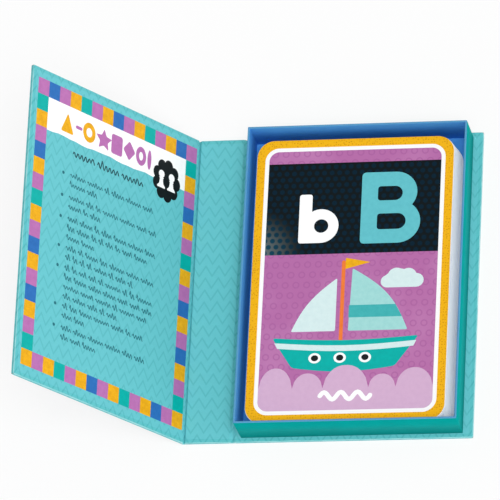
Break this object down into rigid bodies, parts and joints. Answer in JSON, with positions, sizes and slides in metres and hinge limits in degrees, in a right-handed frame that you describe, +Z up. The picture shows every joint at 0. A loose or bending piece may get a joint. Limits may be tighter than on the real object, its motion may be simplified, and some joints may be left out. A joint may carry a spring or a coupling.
{
  "type": "alphabet snap card game box",
  "caption": "Book-style game box with a hinged cover and spine, a paper-covered tray and a removable deck of alphabet snap cards, standing open.",
  "frame": {"origin": "centre of the back leaf's underside, the face that lies on the table", "axes": "+Z up out of the tray, +X from the spine to the fore edge, +Y from the foot of the box to its head"},
  "size_m": [0.2086, 0.162, 0.1027],
  "materials": {
    "greyboard": "matte",
    "case_wrap_paper": "satin",
    "case_lining_paper": "satin",
    "tray_wrap_paper": "satin",
    "tray_lining_paper": "satin",
    "gummed_tape": "matte",
    "card_stock": "satin"
  },
  "bodies": {
    "back_case": {"back_board": "greyboard", "back_wrap": "case_wrap_paper", "back_lining": "case_lining_paper", "back_joint_wrap": "case_wrap_paper", "back_joint_lining": "case_lining_paper", "tray_floor_board": "greyboard", "tray_wall_spine_side": "greyboard", "tray_wall_fore_side": "greyboard", "tray_wall_foot": "greyboard", "tray_wall_head": "greyboard", "tray_corner_stays": "gummed_tape", "tray_wrap": "tray_wrap_paper", "tray_wall_lining": "tray_lining_paper", "tray_floor_lining": "tray_lining_paper"},
    "spine": {"spine_board": "greyboard", "spine_wrap": "case_wrap_paper", "spine_lining": "case_lining_paper", "front_joint_wrap": "case_wrap_paper", "front_joint_lining": "case_lining_paper"},
    "front_cover": {"cover_board": "greyboard", "cover_wrap": "case_wrap_paper", "cover_lining": "case_lining_paper"},
    "deck_lower": {"card_pair_z": "card_stock", "card_pair_y": "card_stock", "card_pair_x": "card_stock", "card_pair_w": "card_stock", "card_pair_v": "card_stock", "card_pair_u": "card_stock", "card_pair_t": "card_stock", "card_pair_s": "card_stock", "card_pair_r": "card_stock", "card_pair_q": "card_stock", "card_pair_p": "card_stock", "card_pair_o": "card_stock", "card_pair_n": "card_stock", "card_pair_m": "card_stock"},
    "deck_upper": {"card_pair_l": "card_stock", "card_pair_k": "card_stock", "card_pair_j": "card_stock", "card_pair_i": "card_stock", "card_pair_h": "card_stock", "card_pair_g": "card_stock", "card_pair_f": "card_stock", "card_pair_e": "card_stock", "card_pair_d": "card_stock", "card_pair_c": "card_stock", "card_pair_a": "card_stock"},
    "card_under": {"card_b_under": "card_stock"},
    "card_top": {"card_b_top": "card_stock"}
  },
  "joints": [
    {"name": "back_hinge", "type": "hinge", "parent": "back_case", "child": "spine", "pos_m": [-0.0609, 0, 0.00015], "axis": [0, 1, 0], "range_deg": [0, 90], "deforming": ["back_joint_wrap", "back_joint_lining"]},
    {"name": "front_hinge", "type": "hinge", "parent": "spine", "child": "front_cover", "pos_m": [-0.0859, 0, 0.00015], "axis": [0, 1, 0], "range_deg": [-58, 32], "deforming": ["front_joint_wrap", "front_joint_lining"]},
    {"name": "deck_lift", "type": "slide", "parent": "back_case", "child": "deck_lower", "axis": [0, 0, -1], "range_m": [-0.06, 0]},
    {"name": "deck_cut", "type": "slide", "parent": "deck_lower", "child": "deck_upper", "axis": [0, 0, -1], "range_m": [-0.04, 0]},
    {"name": "under_card_lift", "type": "slide", "parent": "deck_upper", "child": "card_under", "axis": [0, 0, -1], "range_m": [-0.03, 0]},
    {"name": "top_card_lift", "type": "slide", "parent": "card_under", "child": "card_top", "axis": [0, 0, -1], "range_m": [-0.03, 0]}
  ]
}
